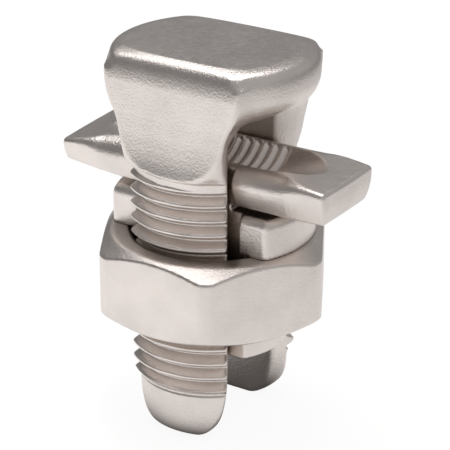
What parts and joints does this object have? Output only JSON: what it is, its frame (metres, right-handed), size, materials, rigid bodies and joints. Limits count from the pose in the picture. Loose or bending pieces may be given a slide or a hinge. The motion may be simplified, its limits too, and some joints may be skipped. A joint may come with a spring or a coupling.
{
  "type": "split-bolt connector",
  "caption": "Tin-plated split bolt with hexagon nut, pressure bar and winged spacer that clamps two electrical conductors side by side.",
  "frame": {"origin": "on the bolt's axis, in the plane of the flat ends of its two legs", "axes": "+Z along the bolt towards its head, X along the conductors, Y across the slot from leg to leg"},
  "size_m": [0.0282, 0.0204, 0.0365],
  "materials": {
    "tin_plate": "satin"
  },
  "bodies": {
    "bolt": {"split_bolt": "tin_plate"},
    "bar": {"pressure_bar": "tin_plate"},
    "nut": {"hex_nut": "tin_plate"},
    "spacer": {"spacer_bar": "tin_plate"}
  },
  "joints": [
    {"name": "bar_lift", "type": "slide", "parent": "bolt", "child": "bar", "axis": [0, 0, 1], "range_m": [-0.0075, 0.0014]},
    {"name": "nut_turn", "type": "hinge", "parent": "bar", "child": "nut", "pos_m": [0, 0, 0.015], "axis": [0, 0, 1], "range_deg": [-1914, 358]},
    {"name": "spacer_lift", "type": "slide", "parent": "bar", "child": "spacer", "axis": [0, 0, 1], "range_m": [0, 0.0014]}
  ],
  "couplings": [
    {"joint": "nut_turn", "follows": "bar_lift", "rad_per_m": 4452.6}
  ]
}
